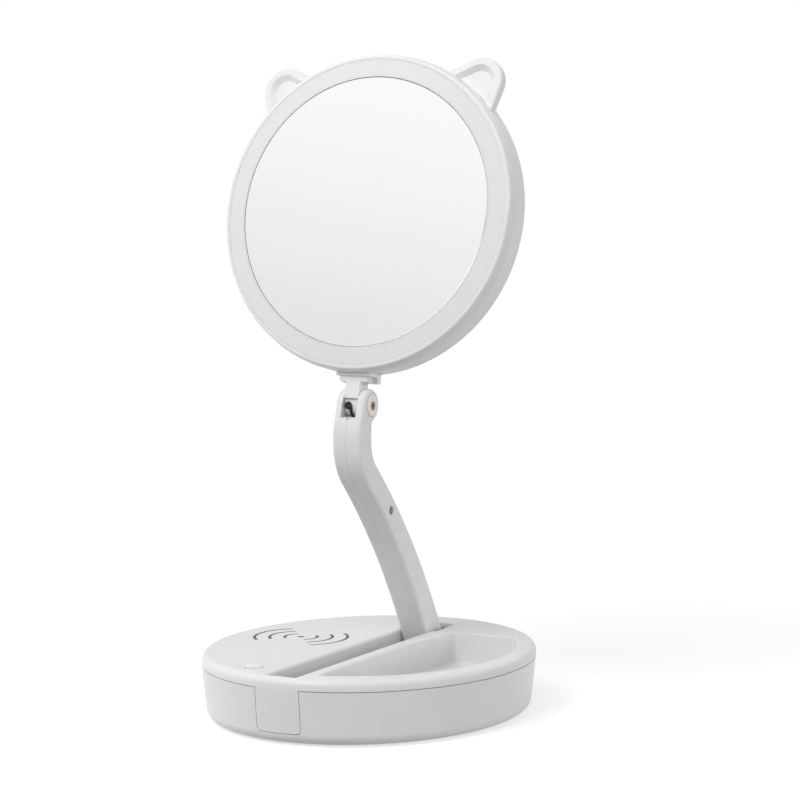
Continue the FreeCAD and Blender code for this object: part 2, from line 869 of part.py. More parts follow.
def make_arm_screw():
    spot = arm_screw_spot()
    under_head = arm_screw_seat - arm_screw_head
    shank = crosswise(arm_screw_radius, under_head - arm_screw_length, under_head, spot.y, spot.z)
    head = crosswise(arm_screw_head_radius, under_head, arm_screw_seat, spot.y, spot.z)
    reach = recess_reach * arm_screw_head_radius
    half = recess_width * arm_screw_head_radius
    deep = arm_screw_seat - recess_depth * arm_screw_head
    bars = ((reach, half), (half, reach))
    cross = [box(V(deep, spot.y - a, spot.z - b), V(far, spot.y + a, spot.z + b)) for a, b in bars]
    return shank.fuse(head).removeSplitter().cut(cross)


def make_knuckle_bush(side):
    inner = clevis_half_gap
    under_cap = arm_half_width - bush_cap_sink + running_clearance
    outer = arm_half_width + bush_cap_proud
    cap = crosswise(bush_cap_radius, under_cap, outer, knuckle.y, knuckle.z)
    rim = [e for e in cap.Edges if abs(e.BoundBox.XMin - outer) < tiny and abs(e.BoundBox.XMax - outer) < tiny]
    cap = cap.makeFillet(bush_cap_round, rim)
    bush = cap.fuse(crosswise(bush_radius, inner, under_cap, knuckle.y, knuckle.z)).removeSplitter()
    bush = bush.cut(crosswise(pin_radius + running_clearance, 0, far, knuckle.y, knuckle.z))
    if side < 0:
        bush = bush.mirror(V(0, 0, 0), V(1, 0, 0))
    return bush


def make_knuckle_pin():
    end = arm_half_width + bush_cap_proud
    pin = crosswise(pin_radius, -end, end, knuckle.y, knuckle.z)
    half = pin_slot_width / 2
    slots = []
    for left in (-end, end - pin_slot_depth):
        low = V(left, knuckle.y - far, knuckle.z - half)
        slots.append(box(low, V(left + pin_slot_depth, knuckle.y + far, knuckle.z + half)))
    return pin.cut(slots)


# Head pieces are drawn upright about the knuckle's axis, then leaned back and set on the knuckle.
head_place = FreeCAD.Placement(knuckle, FreeCAD.Rotation(V(1, 0, 0), -head_lean))


def disc(radius, front, back):
    """Round plate of the head between two depths behind the glass."""
    return Part.makeCylinder(radius, back - front, V(0, front - head_front, head_rise), V(0, 1, 0))


def ring(outer, inner, front, back):
    return disc(outer, front, back).cut(disc(inner, front, back))


def turned(*corners):
    """Ring of the head from its half section, whose corners are a radius and a depth behind the glass."""
    points = [V(0, depth - head_front, head_rise + radius) for radius, depth in corners]
    section = Part.Face(Part.makePolygon(points + points[:1]))
    return section.revolve(V(0, 0, head_rise), V(0, 1, 0), 360)


def depth_edges(shape, depth):
    """Edges that lie wholly at one depth behind the glass."""
    y = depth - head_front
    return [e for e in shape.Edges if abs(e.BoundBox.YMin - y) < tiny and abs(e.BoundBox.YMax - y) < tiny]


def head_bar(radius, front, back, x, z):
    """Round bar from front to back of the head."""
    return Part.makeCylinder(radius, back - front, V(x, front - head_front, head_rise + z), V(0, 1, 0))


def pillar_spots():
    turns = [math.radians(45 + 360 * n / pillar_count) for n in range(pillar_count)]
    return [(pillar_circle * math.cos(turn), pillar_circle * math.sin(turn)) for turn in turns]


def lamp_board_back():
    return lamp_depth + lamp_board_thickness


def make_rear_housing():
    back = head_depth
    inner_back = head_depth - head_wall
    outside = disc(head_radius, bezel_depth + bezel_seam, back)
    outside = outside.makeFillet(head_back_round, depth_edges(outside, back))
    inside = disc(head_radius - head_wall, 0, inner_back)
    inside = inside.makeFillet(head_back_round - head_wall, depth_edges(inside, inner_back))
    middle = (lamp_board_outer_radius + plate_outer_radius()) / 2
    half = lamp_rib_width / 2
    parts = [ring(middle + half, middle - half, lamp_board_back(), back - head_wall / 2)]
    cuts = []
    for x, z in pillar_spots():
        parts.append(head_bar(pillar_radius, pillar_joint, back - head_wall / 2, x, z))
        cuts.append(head_bar(head_screw_head_radius + screw_clearance, back - head_screw_seat, back, x, z))
        cuts.append(head_bar(head_screw_radius + screw_clearance, pillar_joint, back, x, z))
    return outside.cut(inside).fuse(parts).removeSplitter().cut(cuts)


def make_front_bezel():
    front = bezel_set_back
    mouth = bezel_inner_radius
    brim = head_radius - bezel_taper
    rim = turned((mouth, front), (mouth, bezel_depth), (head_radius, bezel_depth), (brim, front))
    outer = max(depth_edges(rim, front), key=lambda e: e.BoundBox.XMax)
    rim = rim.makeFillet(bezel_round, [outer])
    back = glass_thickness + plate_thickness
    ledge = ring(head_radius - head_wall, bezel_inner_radius - bezel_ledge, glass_thickness, back)
    tongue_outer = head_radius - head_wall - bezel_tongue_clearance
    tongue_back = bezel_depth + bezel_tongue_depth
    tongue = ring(tongue_outer, tongue_outer - bezel_tongue_width, glass_thickness, tongue_back)
    return rim.fuse([ledge, tongue]).removeSplitter()


def make_mirror_glass():
    glass = disc(glass_radius, 0, glass_thickness)
    return glass.makeChamfer(glass_bevel, depth_edges(glass, 0))


def make_light_diffuser():
    inner = glass_radius + diffuser_gap
    outer = bezel_inner_radius - diffuser_fit
    front = bezel_set_back + diffuser_sink
    return turned((inner, diffuser_sink), (inner, glass_thickness), (outer, glass_thickness), (outer, front))


def plate_outer_radius():
    return glass_radius + diffuser_gap + plate_overlap


def make_reflector():
    outer = plate_outer_radius()
    seat = glass_thickness + plate_thickness
    tray = disc(outer, glass_thickness, seat).fuse(ring(outer, outer - plate_wall, seat, lamp_depth))
    for x, z in pillar_spots():
        tray = tray.fuse(head_bar(pillar_radius, seat - plate_thickness / 2, pillar_joint, x, z))
        tip = head_depth - head_screw_seat - head_screw_length - screw_clearance
        tray = tray.cut(head_bar(head_screw_radius + screw_clearance, tip, pillar_joint, x, z))
    return tray.removeSplitter()


def make_led_board():
    return ring(lamp_board_outer_radius, plate_outer_radius() - plate_wall, lamp_depth, lamp_board_back())


def make_leds():
    circle = (lamp_board_outer_radius + plate_outer_radius()) / 2
    chips = []
    for n in range(lamp_chip_count):
        front = lamp_depth - lamp_chip_high - head_front
        low = V(-lamp_chip_long / 2, front, circle - lamp_chip_wide / 2 + head_rise)
        chip = Part.makeBox(lamp_chip_long, lamp_chip_high, lamp_chip_wide, low)
        chip.rotate(V(0, 0, head_rise), V(0, 1, 0), 360 * n / lamp_chip_count)
        chips.append(chip)
    return chips


def make_head_screws():
    seat = head_depth - head_screw_seat
    screws = []
    for x, z in pillar_spots():
        shank = head_bar(head_screw_radius, seat - head_screw_length, seat, x, z)
        screw = shank.fuse(head_bar(head_screw_head_radius, seat, seat + head_screw_head, x, z)).removeSplitter()
        spot = V(x, seat + head_screw_head - head_front, z + head_rise)
        reach = recess_reach * head_screw_head_radius
        half = recess_width * head_screw_head_radius
        deep = V(0, recess_depth * head_screw_head, 0)
        cross = [box(spot - V(a, 0, b) - deep, spot + V(a, 0, b)) for a, b in ((reach, half), (half, reach))]
        screws.append(screw.cut(cross))
    return screws


def ear_outline(shrink, depth):
    """Outline of an ear that stands straight up from the head's rim, drawn in at its sides and top."""
    y = depth - head_front
    spread = math.radians(ear_root_half_angle)
    tip = V(0, y, head_rise + ear_tip_reach)
    radius = ear_tip_radius - shrink
    root = V(head_radius * math.sin(spread) - shrink, y, head_rise + head_radius * math.cos(spread))
    away = root - tip
    turn = math.atan2(away.z, away.x) + math.acos(radius / away.Length)
    right = tip + V(math.cos(turn), 0, math.sin(turn)) * radius
    toe = root - V(0, 0, ear_root_drop)
    flip = FreeCAD.Matrix(-1, 0, 0, 0, 0, 1, 0, 0, 0, 0, 1, 0)
    points = [flip.multVec(right), flip.multVec(root), flip.multVec(toe), toe, root, right]
    edges = [Part.makeLine(points[n], points[n + 1]) for n in range(len(points) - 1)]
    edges.append(Part.Arc(right, tip + V(0, 0, radius), points[0]).toShape())
    return Part.Wire(edges)


def make_ear(side):
    back = ear_front_depth + ear_thickness
    ear = Part.Face(ear_outline(0, ear_front_depth)).extrude(V(0, ear_thickness, 0))
    rims = depth_edges(ear, ear_front_depth) + depth_edges(ear, back)
    foot_z = min(e.BoundBox.ZMax for e in rims) + tiny
    ear = ear.makeFillet(ear_edge_round, [e for e in rims if e.BoundBox.ZMax > foot_z])
    mouth = ear_outline(ear_rim, ear_front_depth)
    floor = ear_outline(ear_rim + ear_recess_slope, ear_front_depth + ear_recess)
    ear = ear.cut(Part.makeLoft([mouth, floor], True, True))
    ear.rotate(V(0, ear_front_depth - head_front, head_rise + head_radius), V(1, 0, 0), -ear_lean)
    ear = ear.cut(disc(head_radius, -far, far))
    ear.rotate(V(0, 0, head_rise), V(0, 1, 0), side * ear_turn - ear_roll)
    return ear


def make_neck():
    half = eye_half_width
    eye = crosswise(eye_radius, -half, half)
    stem = box(V(-half, -eye_radius, 0), V(half, stem_back, crossbar_low))
    low = V(-crossbar_half_width, crossbar_front, crossbar_low)
    bar = box(low, V(crossbar_half_width, crossbar_back, crossbar_high))
    front = box(V(-half, crossbar_front, stem_low), V(half, stem_back, crossbar_low))
    neck = eye.fuse([stem, front, bar]).removeSplitter()
    cuts = [crosswise(pin_radius + running_clearance, -half, half)]
    for spot in neck_screw_spots():
        cuts.append(upright(neck_screw_radius + screw_clearance, crossbar_low, crossbar_high, spot.x, spot.y))
        cuts.append(upright(neck_screw_head_radius + screw_clearance, crossbar_low, spot.z, spot.x, spot.y))
    return neck.cut(cuts)


def neck_screw_spots():
    """Seats of the neck's screws, whose heads are sunk in the crossbar."""
    middle = (crossbar_front + crossbar_back) / 2
    return [V(x, middle, crossbar_low + neck_screw_head) for x in (-neck_screw_x, neck_screw_x)]


def make_saddle():
    half = saddle_half_width
    high = head_rise - head_radius * math.cos(math.asin(half / head_radius))
    plate = box(V(-half, saddle_front, crossbar_high), V(half, saddle_back, high))
    plate = plate.makeFillet(saddle_round, upright_edges(plate))
    stop = box(V(-half, crossbar_back + saddle_clearance, saddle_low), V(half, saddle_back, high))
    stop = stop.makeFillet(saddle_round, [e for e in upright_edges(stop) if e.BoundBox.YMax > saddle_back - tiny])
    cuts = [disc(head_radius, -far, far)]
    for spot in neck_screw_spots():
        tip = spot.z + neck_screw_length + screw_clearance
        cuts.append(upright(neck_screw_radius + screw_clearance, crossbar_high, tip, spot.x, spot.y))
    return plate.fuse(stop).removeSplitter().cut(cuts)


def make_neck_screws():
    sizes = (neck_screw_radius, neck_screw_head_radius, neck_screw_head, neck_screw_length)
    return [screw_up(*sizes, spot) for spot in neck_screw_spots()]


def make_knuckle_wire():
    """Lamp wire: a tail round the neck's eye and a small loop on its front."""
    def on_eye(angle):
        turn = math.radians(angle)
        return V(wire_x, wire_track * math.cos(turn), wire_track * math.sin(turn))

    def on_loop(angle):
        turn = math.radians(angle)
        middle = V(wire_x - wire_loop_radius, -wire_track, wire_loop_rise)
        return middle + V(math.cos(turn), 0, math.sin(turn)) * wire_loop_radius

    end = 180 + wire_tail_angle
    start = 180 + wire_rise_angle
    tail = Part.Arc(on_eye(end), on_eye((start + end) / 2), on_eye(start)).toShape()
    rise = Part.makeLine(on_eye(start), on_loop(0))
    loop = Part.Arc(on_loop(0), on_loop(wire_loop_angle / 2), on_loop(wire_loop_angle)).toShape()
    turn = math.radians(end)
    section = Part.Circle(on_eye(end), V(0, math.sin(turn), -math.cos(turn)), wire_radius)
    return Part.Wire([tail, rise, loop]).makePipeShell([Part.Wire(section.toShape())], True, False)


base_pieces = {
    "base_shell": make_base_shell,
    "top_cover": make_top_cover,
    "foot_ring": make_foot_ring,
    "symbol_inlay": lambda: symbol_arcs(inlay_clearance),
    "power_button": make_power_button,
    "switch_plunger": make_switch_plunger,
    "tact_switch": make_tact_switch,
    "switch_board": make_switch_board,
    "charging_coil": make_charging_coil,
    "coil_shield": make_coil_shield,
    "main_board": make_main_board,
    "battery_cell": make_battery_cell,
    "usb_board": make_usb_board,
    "usb_socket": make_usb_socket,
    "base_screws": make_base_screws,
    "hinge_cradle": make_hinge_cradle,
    "cradle_screws": make_cradle_screws,
    "foot_axle": make_foot_axle,
    "friction_washers": make_friction_washers,
}
arm_pieces = {
    "arm_left_shell": lambda: make_arm_shell(-1),
    "arm_right_shell": lambda: make_arm_shell(1),
    "arm_screw": make_arm_screw,
    "arm_cable": make_arm_cable,
    "knuckle_bush_left": lambda: make_knuckle_bush(-1),
    "knuckle_bush_right": lambda: make_knuckle_bush(1),
    "knuckle_pin": make_knuckle_pin,
}
head_pieces = {
    "rear_housing": make_rear_housing,
    "front_bezel": make_front_bezel,
    "mirror_glass": make_mirror_glass,
    "light_diffuser": make_light_diffuser,
    "reflector": make_reflector,
    "led_board": make_led_board,
    "leds": make_leds,
    "head_screws": make_head_screws,
    "left_ear": lambda: make_ear(-1),
    "right_ear": lambda: make_ear(1),
    "neck": make_neck,
    "saddle": make_saddle,
    "neck_screws": make_neck_screws,
    "knuckle_wire": make_knuckle_wire,
}


def save(name, made, place):
    """Write one piece, or a group of alike pieces, to its file."""
    solids = made if isinstance(made, list) else [made]
    solids = [solid for shape in solids for solid in shape.Solids]
    shape = solids[0] if len(solids) == 1 else Part.makeCompound(solids)
    shape.Placement = place.multiply(shape.Placement)
    shape.exportStep(os.path.join("parts", name + ".step"))


os.makedirs("parts", exist_ok=True)
for name, make in {**base_pieces, **arm_pieces}.items():
    save(name, make(), FreeCAD.Placement())
for name, make in head_pieces.items():
    save(name, make(), head_place)
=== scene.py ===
import json
import math

import bpy
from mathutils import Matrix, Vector


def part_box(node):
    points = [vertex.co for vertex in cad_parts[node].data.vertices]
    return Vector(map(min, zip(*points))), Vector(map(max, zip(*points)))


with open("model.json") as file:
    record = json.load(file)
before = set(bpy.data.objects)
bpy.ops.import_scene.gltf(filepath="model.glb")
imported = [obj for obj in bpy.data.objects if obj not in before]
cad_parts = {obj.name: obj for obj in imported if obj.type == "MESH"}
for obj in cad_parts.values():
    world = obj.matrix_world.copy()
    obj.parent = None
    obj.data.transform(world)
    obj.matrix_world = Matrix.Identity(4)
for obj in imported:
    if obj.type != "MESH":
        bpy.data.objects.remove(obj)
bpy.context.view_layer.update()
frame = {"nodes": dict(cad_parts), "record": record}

# Sizes in metres, in the frame of the solids
glass_low, glass_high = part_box("mirror_glass")
glass_middle = (glass_low + glass_high) / 2
head_lean = math.radians(11.6)
glass_radius = (glass_high.x - glass_low.x) / 2
glass_edge_width = 0.0006
pin_low, pin_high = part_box("knuckle_pin")
pin_middle = (pin_low + pin_high) / 2
parting_width = 0.00035
elbow_mark_height = 0.1535
elbow_mark_width = 0.0006
# Height below which the arm's lines are a painted highlight, and the fade of that painted highlight
painted_highlight_top = 0.095
painted_highlight_fade = 0.02
# Widths of the painted shade along the light ring's inner and outer rims
ring_inner_shade = 0.0025
ring_outer_shade = 0.002

# Floor: its tone, and how white it shows near the object and far from it, by squared distance
floor_reach = 12.0
floor_tone = (0.46, 0.46, 0.46, 1.0)
floor_near_squared = 0.06
floor_far_squared = 0.80
floor_white_near = 0.68
floor_white_far = 0.90

# Room: light from its walls and ceiling, and what glossy faces see low and high in it
wall_focus = 6.0
side_wall_light = 3.75
back_wall_light = 2.6
ceiling_light = 0.20
ceiling_from = 0.30
ceiling_full = 0.50
mirrored_low = 0.64
mirrored_high = 1.0
mirrored_from = 0.18
mirrored_full = 0.42

# Lamps: name, place, aim, size, watts, and whether glossy faces show it
lamps = (
    ("side_lamp", (-1.33, -0.77, 1.39), (0.0, 0.0, 0.15), 1.2, 2.5, False),
    ("front_lamp", (-0.22, -1.27, 1.63), (0.0, 0.0, 0.15), 1.2, 22.5, False),
    ("small_lamp", (-0.37, -1.37, 1.51), (0.0, 0.0, 0.05), 0.35, 4.0, True),
    ("top_lamp", (-0.85, -0.3, 1.75), (0.0, 0.0, 0.1), 0.35, 2.0, True),
)

# Camera, worked out from the base's seam, the slot and the round glass in the photograph
camera_turn = math.radians(28.19)
camera_reach = 1.3991
camera_height = 0.29255
camera_heading = math.radians(27.51)
camera_dip = math.radians(4.75)
camera_lens = 112.41
camera_sensor = 36.0
camera_far = 40.0


def add(tree, kind, values=None, **settings):
    """Add a node with its settings; a value that is a socket is linked, any other is set."""
    made = tree.nodes.new(kind)
    for name, setting in settings.items():
        setattr(made, name, setting)
    for socket, value in (values or {}).items():
        if isinstance(value, bpy.types.NodeSocket):
            tree.links.new(value, made.inputs[socket])
        else:
            made.inputs[socket].default_value = value
    return made


def sums(tree, operation, first, second=0.0, third=0.0):
    """Result of one arithmetic step."""
    return add(tree, "ShaderNodeMath", {0: first, 1: second, 2: third}, operation=operation).outputs[0]


def ramp(tree, value, low, high, start, end):
    """A value carried smoothly from one range to another."""
    values = {"Value": value, "From Min": low, "From Max": high, "To Min": start, "To Max": end}
    return add(tree, "ShaderNodeMapRange", values, interpolation_type="SMOOTHSTEP").outputs["Result"]


def blend(tree, share, first, second):
    """A colour between two others."""
    mixed = add(tree, "ShaderNodeMix", {"Factor": share}, data_type="RGBA")
    for socket, colour in (("A", first), ("B", second)):
        inlet = next(s for s in mixed.inputs if s.name == socket and s.type == "RGBA")
        if isinstance(colour, bpy.types.NodeSocket):
            tree.links.new(colour, inlet)
        else:
            inlet.default_value = (*colour, 1.0)
    return next(s for s in mixed.outputs if s.type == "RGBA")


def solid_place(tree):
    """Where a point lies in the solids' own frame, which moves with the piece."""
    return add(tree, "ShaderNodeTexCoord").outputs["Object"]


def new_group(name, inlets, outlets):
    """Empty shader group with number inputs and outputs; gives its tree, inlet sockets and end node."""
    tree = bpy.data.node_groups.new(name, "ShaderNodeTree")
    for inlet, value in inlets.items():
        socket = tree.interface.new_socket(inlet, in_out="INPUT", socket_type="NodeSocketFloat")
        socket.default_value = value
    for outlet in outlets:
        tree.interface.new_socket(outlet, in_out="OUTPUT", socket_type="NodeSocketFloat")
    start = tree.nodes.new("NodeGroupInput")
    end = tree.nodes.new("NodeGroupOutput")
    return tree, start.outputs, end


def make_moulded_grain():
    """Fine spark-eroded grain of a moulding tool, with a broad faint cloudiness."""
    inlets = {"Grain per metre": 1500.0, "Clouds per metre": 45.0}
    tree, start, end = new_group("moulded_grain", inlets, ["Tone", "Height"])
    place = solid_place(tree)
    fine = {"Vector": place, "Scale": start["Grain per metre"], "Detail": 2.0}
    fine = add(tree, "ShaderNodeTexNoise", fine).outputs[0]
    broad = {"Vector": place, "Scale": start["Clouds per metre"], "Detail": 3.0}
    broad = add(tree, "ShaderNodeTexNoise", broad).outputs[0]
    tone = sums(tree, "MULTIPLY_ADD", broad, 0.4, sums(tree, "MULTIPLY", fine, 0.6))
    tree.links.new(ramp(tree, tone, 0.3, 0.7, 0.0, 1.0), end.inputs["Tone"])
    tree.links.new(fine, end.inputs["Height"])
    return tree


def make_head_place():
    """How far a point lies from the glass's axis."""
    tree, start, end = new_group("head_place", {}, ["From axis"])
    values = {"Vector": solid_place(tree), "Location": glass_middle, "Rotation": (-head_lean, 0.0, 0.0)}
    local = add(tree, "ShaderNodeMapping", values, vector_type="TEXTURE").outputs[0]
    parts = add(tree, "ShaderNodeSeparateXYZ", {0: local}).outputs
    across = sums(tree, "MULTIPLY", parts["X"], parts["X"])
    squared = sums(tree, "MULTIPLY_ADD", parts["Z"], parts["Z"], across)
    tree.links.new(sums(tree, "SQRT", squared), end.inputs["From axis"])
    return tree


def make_thin_line():
    """Mask of a thin line where a value passes a place."""
    tree, start, end = new_group("thin_line", {"Value": 0.0, "Place": 0.0, "Width": 0.001}, ["Line"])
    off = sums(tree, "ABSOLUTE", sums(tree, "SUBTRACT", start["Value"], start["Place"]))
    tree.links.new(ramp(tree, off, 0.0, start["Width"], 1.0, 0.0), end.inputs["Line"])
    return tree


moulded_grain = make_moulded_grain()
head_place = make_head_place()
thin_line = make_thin_line()


def grouped(tree, group, values=None):
    """Outputs of a shader group placed in a material."""
    return add(tree, "ShaderNodeGroup", values, node_tree=group).outputs


def new_finish(name, **values):
    """Material with one Principled shader; gives the material, its tree and the shader."""
    finish = bpy.data.materials.new(name)
    finish.use_nodes = True
    tree = finish.node_tree
    shader = tree.nodes["Principled BSDF"]
    for socket, value in values.items():
        shader.inputs[socket.replace("_", " ")].default_value = value
    return finish, tree, shader


def emboss(tree, shader, height, depth):
    """Give a shader a fine relief."""
    relief = add(tree, "ShaderNodeBump", {"Height": height, "Distance": depth, "Strength": 1.0})
    tree.links.new(relief.outputs[0], shader.inputs["Normal"])


def grained(tree, shader, light, dark, smooth, rough, depth, grain=1500.0, clouds=45.0):
    """Colour, gloss and relief that follow the moulded grain; gives the colour."""
    marks = grouped(tree, moulded_grain, {"Grain per metre": grain, "Clouds per metre": clouds})
    colour = blend(tree, marks["Tone"], dark, light)
    tree.links.new(colour, shader.inputs["Base Color"])
    tree.links.new(ramp(tree, marks["Tone"], 0.0, 1.0, rough, smooth), shader.inputs["Roughness"])
    emboss(tree, shader, marks["Height"], depth)
    return colour


def grey(level):
    """A neutral tone."""
    return (level, level, level)


def moulded_white(name, light, dark, smooth, rough, depth):
    """Satin white moulding, by its tones, its gloss and the depth of its grain."""
    finish, tree, shader = new_finish(name)
    grained(tree, shader, grey(light), grey(dark), smooth, rough, depth)
    return finish


def arm_white():
    """Satin white moulding in two halves, with its parting line and a faint tool mark at the elbow; low
    on the arm the parting line is a painted highlight, lighter than the face, and above it is dark.
    """
    finish, tree, shader = new_finish("arm_white")
    colour = grained(tree, shader, grey(0.79), grey(0.735), smooth=0.36, rough=0.46, depth=0.00006)
    parts = add(tree, "ShaderNodeSeparateXYZ", {0: solid_place(tree)}).outputs
    seam = grouped(tree, thin_line, {"Value": parts["X"], "Width": parting_width})["Line"]
    mark = {"Value": parts["Z"], "Place": elbow_mark_height, "Width": elbow_mark_width}
    mark = grouped(tree, thin_line, mark)["Line"]
    # Painted highlight: below this height the lines are painted light, above it dark
    edge = ramp(tree, parts["Z"], painted_highlight_top - painted_highlight_fade, painted_highlight_top, 1.0, 0.0)
    lines = sums(tree, "MULTIPLY_ADD", mark, 0.12, sums(tree, "MULTIPLY", seam, 0.45))
    line_tone_with_painted_highlight = blend(tree, edge, grey(0.40), grey(0.98))
    tree.links.new(blend(tree, lines, colour, line_tone_with_painted_highlight), shader.inputs["Base Color"])
    return finish


def silvered_glass():
    """Mirror, with the faintly green ground edge of the glass around it."""
    finish, tree, shader = new_finish("silvered_glass", Metallic=1.0)
    place = grouped(tree, head_place)["From axis"]
    edge = ramp(tree, place, glass_radius - glass_edge_width, glass_radius, 0.0, 1.0)
    haze = grouped(tree, moulded_grain, {"Grain per metre": 260.0, "Clouds per metre": 18.0})["Tone"]
    silver = blend(tree, haze, grey(0.965), grey(0.975))
    tree.links.new(blend(tree, edge, silver, (0.97, 0.97, 0.82)), shader.inputs["Base Color"])
    clean = ramp(tree, haze, 0.0, 1.0, 0.012, 0.02)
    tree.links.new(sums(tree, "MULTIPLY_ADD", edge, 0.25, clean), shader.inputs["Roughness"])
    return finish


def frosted_ring():
    """Frosted light ring, with a little painted shade along its inner and outer rims, where it meets the
    glass and the bezel.
    """
    finish, tree, shader = new_finish("frosted_ring", IOR=1.49)
    light, dark, shade = grey(0.785), grey(0.75), grey(0.63)
    colour = grained(tree, shader, light, dark, 0.50, 0.60, depth=0.00004, grain=1900.0, clouds=60.0)
    ring_low, ring_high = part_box("light_diffuser")
    outer = (ring_high.x - ring_low.x) / 2
    place = grouped(tree, head_place)["From axis"]
    # Painted shade where the ring meets the glass and the bezel
    inside = ramp(tree, place, glass_radius, glass_radius + ring_inner_shade, 0.35, 0.0)
    outside = ramp(tree, place, outer - ring_outer_shade, outer, 0.0, 0.2)
    painted_edge_shade = sums(tree, "ADD", inside, outside)
    tree.links.new(blend(tree, painted_edge_shade, colour, shade), shader.inputs["Base Color"])
    return finish


def button_cap():
    """Glossy cap with a rosy cast."""
    finish, tree, shader = new_finish("button_cap", Coat_Weight=0.3)
    light, dark = (0.86, 0.80, 0.83), (0.83, 0.77, 0.80)
    grained(tree, shader, light, dark, smooth=0.20, rough=0.26, depth=0.00001)
    return finish


def printed_mark():
    """Matt dark print of the charging symbol."""
    finish, tree, shader = new_finish("printed_mark")
    light, dark = (0.13, 0.095, 0.105), (0.09, 0.065, 0.075)
    grained(tree, shader, light, dark, smooth=0.50, rough=0.62, depth=0.00003)
    return finish


def dark_rubber(name, level, depth):
    """Matt dark rubber or sleeving."""
    finish, tree, shader = new_finish(name)
    light, dark = grey(level * 1.2), grey(level * 0.8)
    grained(tree, shader, light, dark, 0.55, 0.72, depth, grain=1100.0, clouds=80.0)
    return finish


def turned_brass():
    """Brass with the fine rings that turning leaves on its ends."""
    finish, tree, shader = new_finish("turned_brass", Metallic=1.0)
    offset = {0: solid_place(tree), 1: pin_middle}
    offset = add(tree, "ShaderNodeVectorMath", offset, operation="SUBTRACT").outputs[0]
    rings = {"Vector": offset, "Scale": 900.0, "Distortion": 0.6, "Detail": 1.0}
    rings = add(tree, "ShaderNodeTexWave", rings, wave_type="RINGS", rings_direction="X").outputs["Fac"]
    tone = grouped(tree, moulded_grain, {"Grain per metre": 2200.0, "Clouds per metre": 300.0})["Tone"]
    colour = blend(tree, tone, (0.24, 0.10, 0.015), (0.40, 0.19, 0.04))
    tree.links.new(colour, shader.inputs["Base Color"])
    tree.links.new(ramp(tree, rings, 0.0, 1.0, 0.24, 0.40), shader.inputs["Roughness"])
    emboss(tree, shader, rings, 0.00002)
    return finish


def plated_steel():
    """Zinc plated screws and shells, with a slight bloom."""
    finish, tree, shader = new_finish("plated_steel", Metallic=1.0)
    light, dark = (0.60, 0.61, 0.63), (0.45, 0.46, 0.48)
    grained(tree, shader, light, dark, 0.24, 0.42, depth=0.00001, grain=1700.0, clouds=200.0)
    return finish


def board_mask():
    """Green solder mask with the raised lines of the tracks under it."""
    finish, tree, shader = new_finish("board_mask", Coat_Weight=0.25)
    tracks = {"Vector": solid_place(tree), "Scale": 420.0, "Randomness": 0.35}
    tracks = add(tree, "ShaderNodeTexVoronoi", tracks, feature="DISTANCE_TO_EDGE", distance="MANHATTAN")
    line = ramp(tree, tracks.outputs["Distance"], 0.04, 0.09, 1.0, 0.0)
    colour = blend(tree, line, (0.012, 0.085, 0.03), (0.03, 0.16, 0.06))
    tree.links.new(colour, shader.inputs["Base Color"])
    tree.links.new(ramp(tree, line, 0.0, 1.0, 0.42, 0.34), shader.inputs["Roughness"])
    emboss(tree, shader, line, 0.00003)
    return finish


def lamp_phosphor():
    """Yellow phosphor window of a lamp chip in its white cup."""
    finish, tree, shader = new_finish("lamp_phosphor")
    light, dark = (0.85, 0.72, 0.22), (0.78, 0.60, 0.14)
    grained(tree, shader, light, dark, 0.25, 0.35, depth=0.00001, grain=2500.0, clouds=400.0)
    return finish


def enamelled_copper():
    """Copper wire wound flat, one turn beside the next, with painted shade in the grooves between the
    turns.
    """
    finish, tree, shader = new_finish("enamelled_copper", Metallic=1.0, Coat_Weight=0.4)
    coil_low, coil_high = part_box("charging_coil")
    offset = {0: solid_place(tree), 1: (coil_low + coil_high) / 2}
    offset = add(tree, "ShaderNodeVectorMath", offset, operation="SUBTRACT").outputs[0]
    turns = {"Vector": offset, "Scale": 330.0, "Distortion": 0.0}
    turns = add(tree, "ShaderNodeTexWave", turns, wave_type="RINGS", rings_direction="Z").outputs["Fac"]
    # Painted shade: the copper colour is darker in the grooves between turns and lighter on their crests
    colour = blend(tree, turns, (0.32, 0.11, 0.04), (0.74, 0.33, 0.16))
    tree.links.new(colour, shader.inputs["Base Color"])
    tree.links.new(ramp(tree, turns, 0.0, 1.0, 0.45, 0.25), shader.inputs["Roughness"])
    emboss(tree, shader, turns, 0.0003)
    return finish


def tinted(name, light, dark, smooth, rough, depth=0.00003, grain=1500.0, clouds=60.0):
    """Plain coloured moulding, sleeve or ferrite with its own grain."""
    finish, tree, shader = new_finish(name)
    grained(tree, shader, light, dark, smooth, rough, depth, grain, clouds)
    return finish


